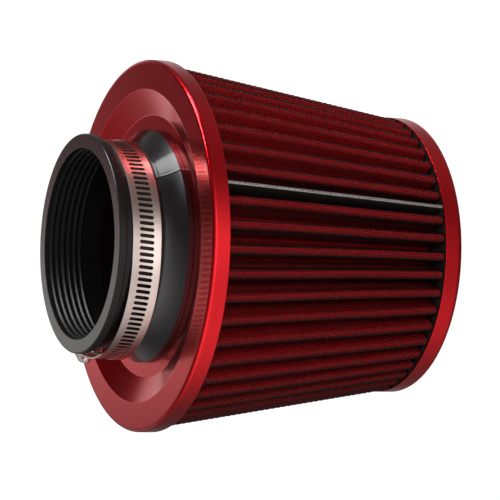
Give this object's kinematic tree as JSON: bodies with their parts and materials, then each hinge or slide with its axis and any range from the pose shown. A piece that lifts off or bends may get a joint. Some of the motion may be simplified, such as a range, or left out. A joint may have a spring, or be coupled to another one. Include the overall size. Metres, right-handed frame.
{
  "type": "cone air filter",
  "caption": "Pleated cone air filter with a red pressed front plate, closed rear cap, black rubber neck and slotted worm-drive clamp for an engine's intake pipe.",
  "frame": {"origin": "centre of the ring on the rear cap that the filter stands on", "axes": "+Z along the filter's axis from the closed cap to the mouth of the neck; -X towards the side where the clamp's loose band hangs clear of the neck"},
  "size_m": [0.1515, 0.1514, 0.1446],
  "materials": {
    "anodised_plate": "polished and anodised red",
    "neck_rubber": "moulded, satin",
    "clamp_steel": "bright rolled stainless steel",
    "oiled_gauze": "oiled red cotton gauze under black wire mesh",
    "clip_steel": "rolled strip",
    "sealant": "cast potting compound"
  },
  "bodies": {
    "filter": {"base_flange": "anodised_plate", "end_cap": "anodised_plate", "rubber_neck": "neck_rubber", "clamp_band": "clamp_steel", "clamp_housing": "clamp_steel", "clamp_saddle": "clamp_steel", "pleated_media": "oiled_gauze", "seam_clip": "clip_steel", "front_sealant": "sealant", "rear_sealant": "sealant"},
    "screw": {"clamp_screw": "clamp_steel"}
  },
  "joints": [
    {"name": "screw_turn", "type": "hinge", "parent": "filter", "child": "screw", "pos_m": [-0.04255, 0.02516, 0.1324], "axis": [0.5446, 0.8387, 0], "continuous": true}
  ]
}
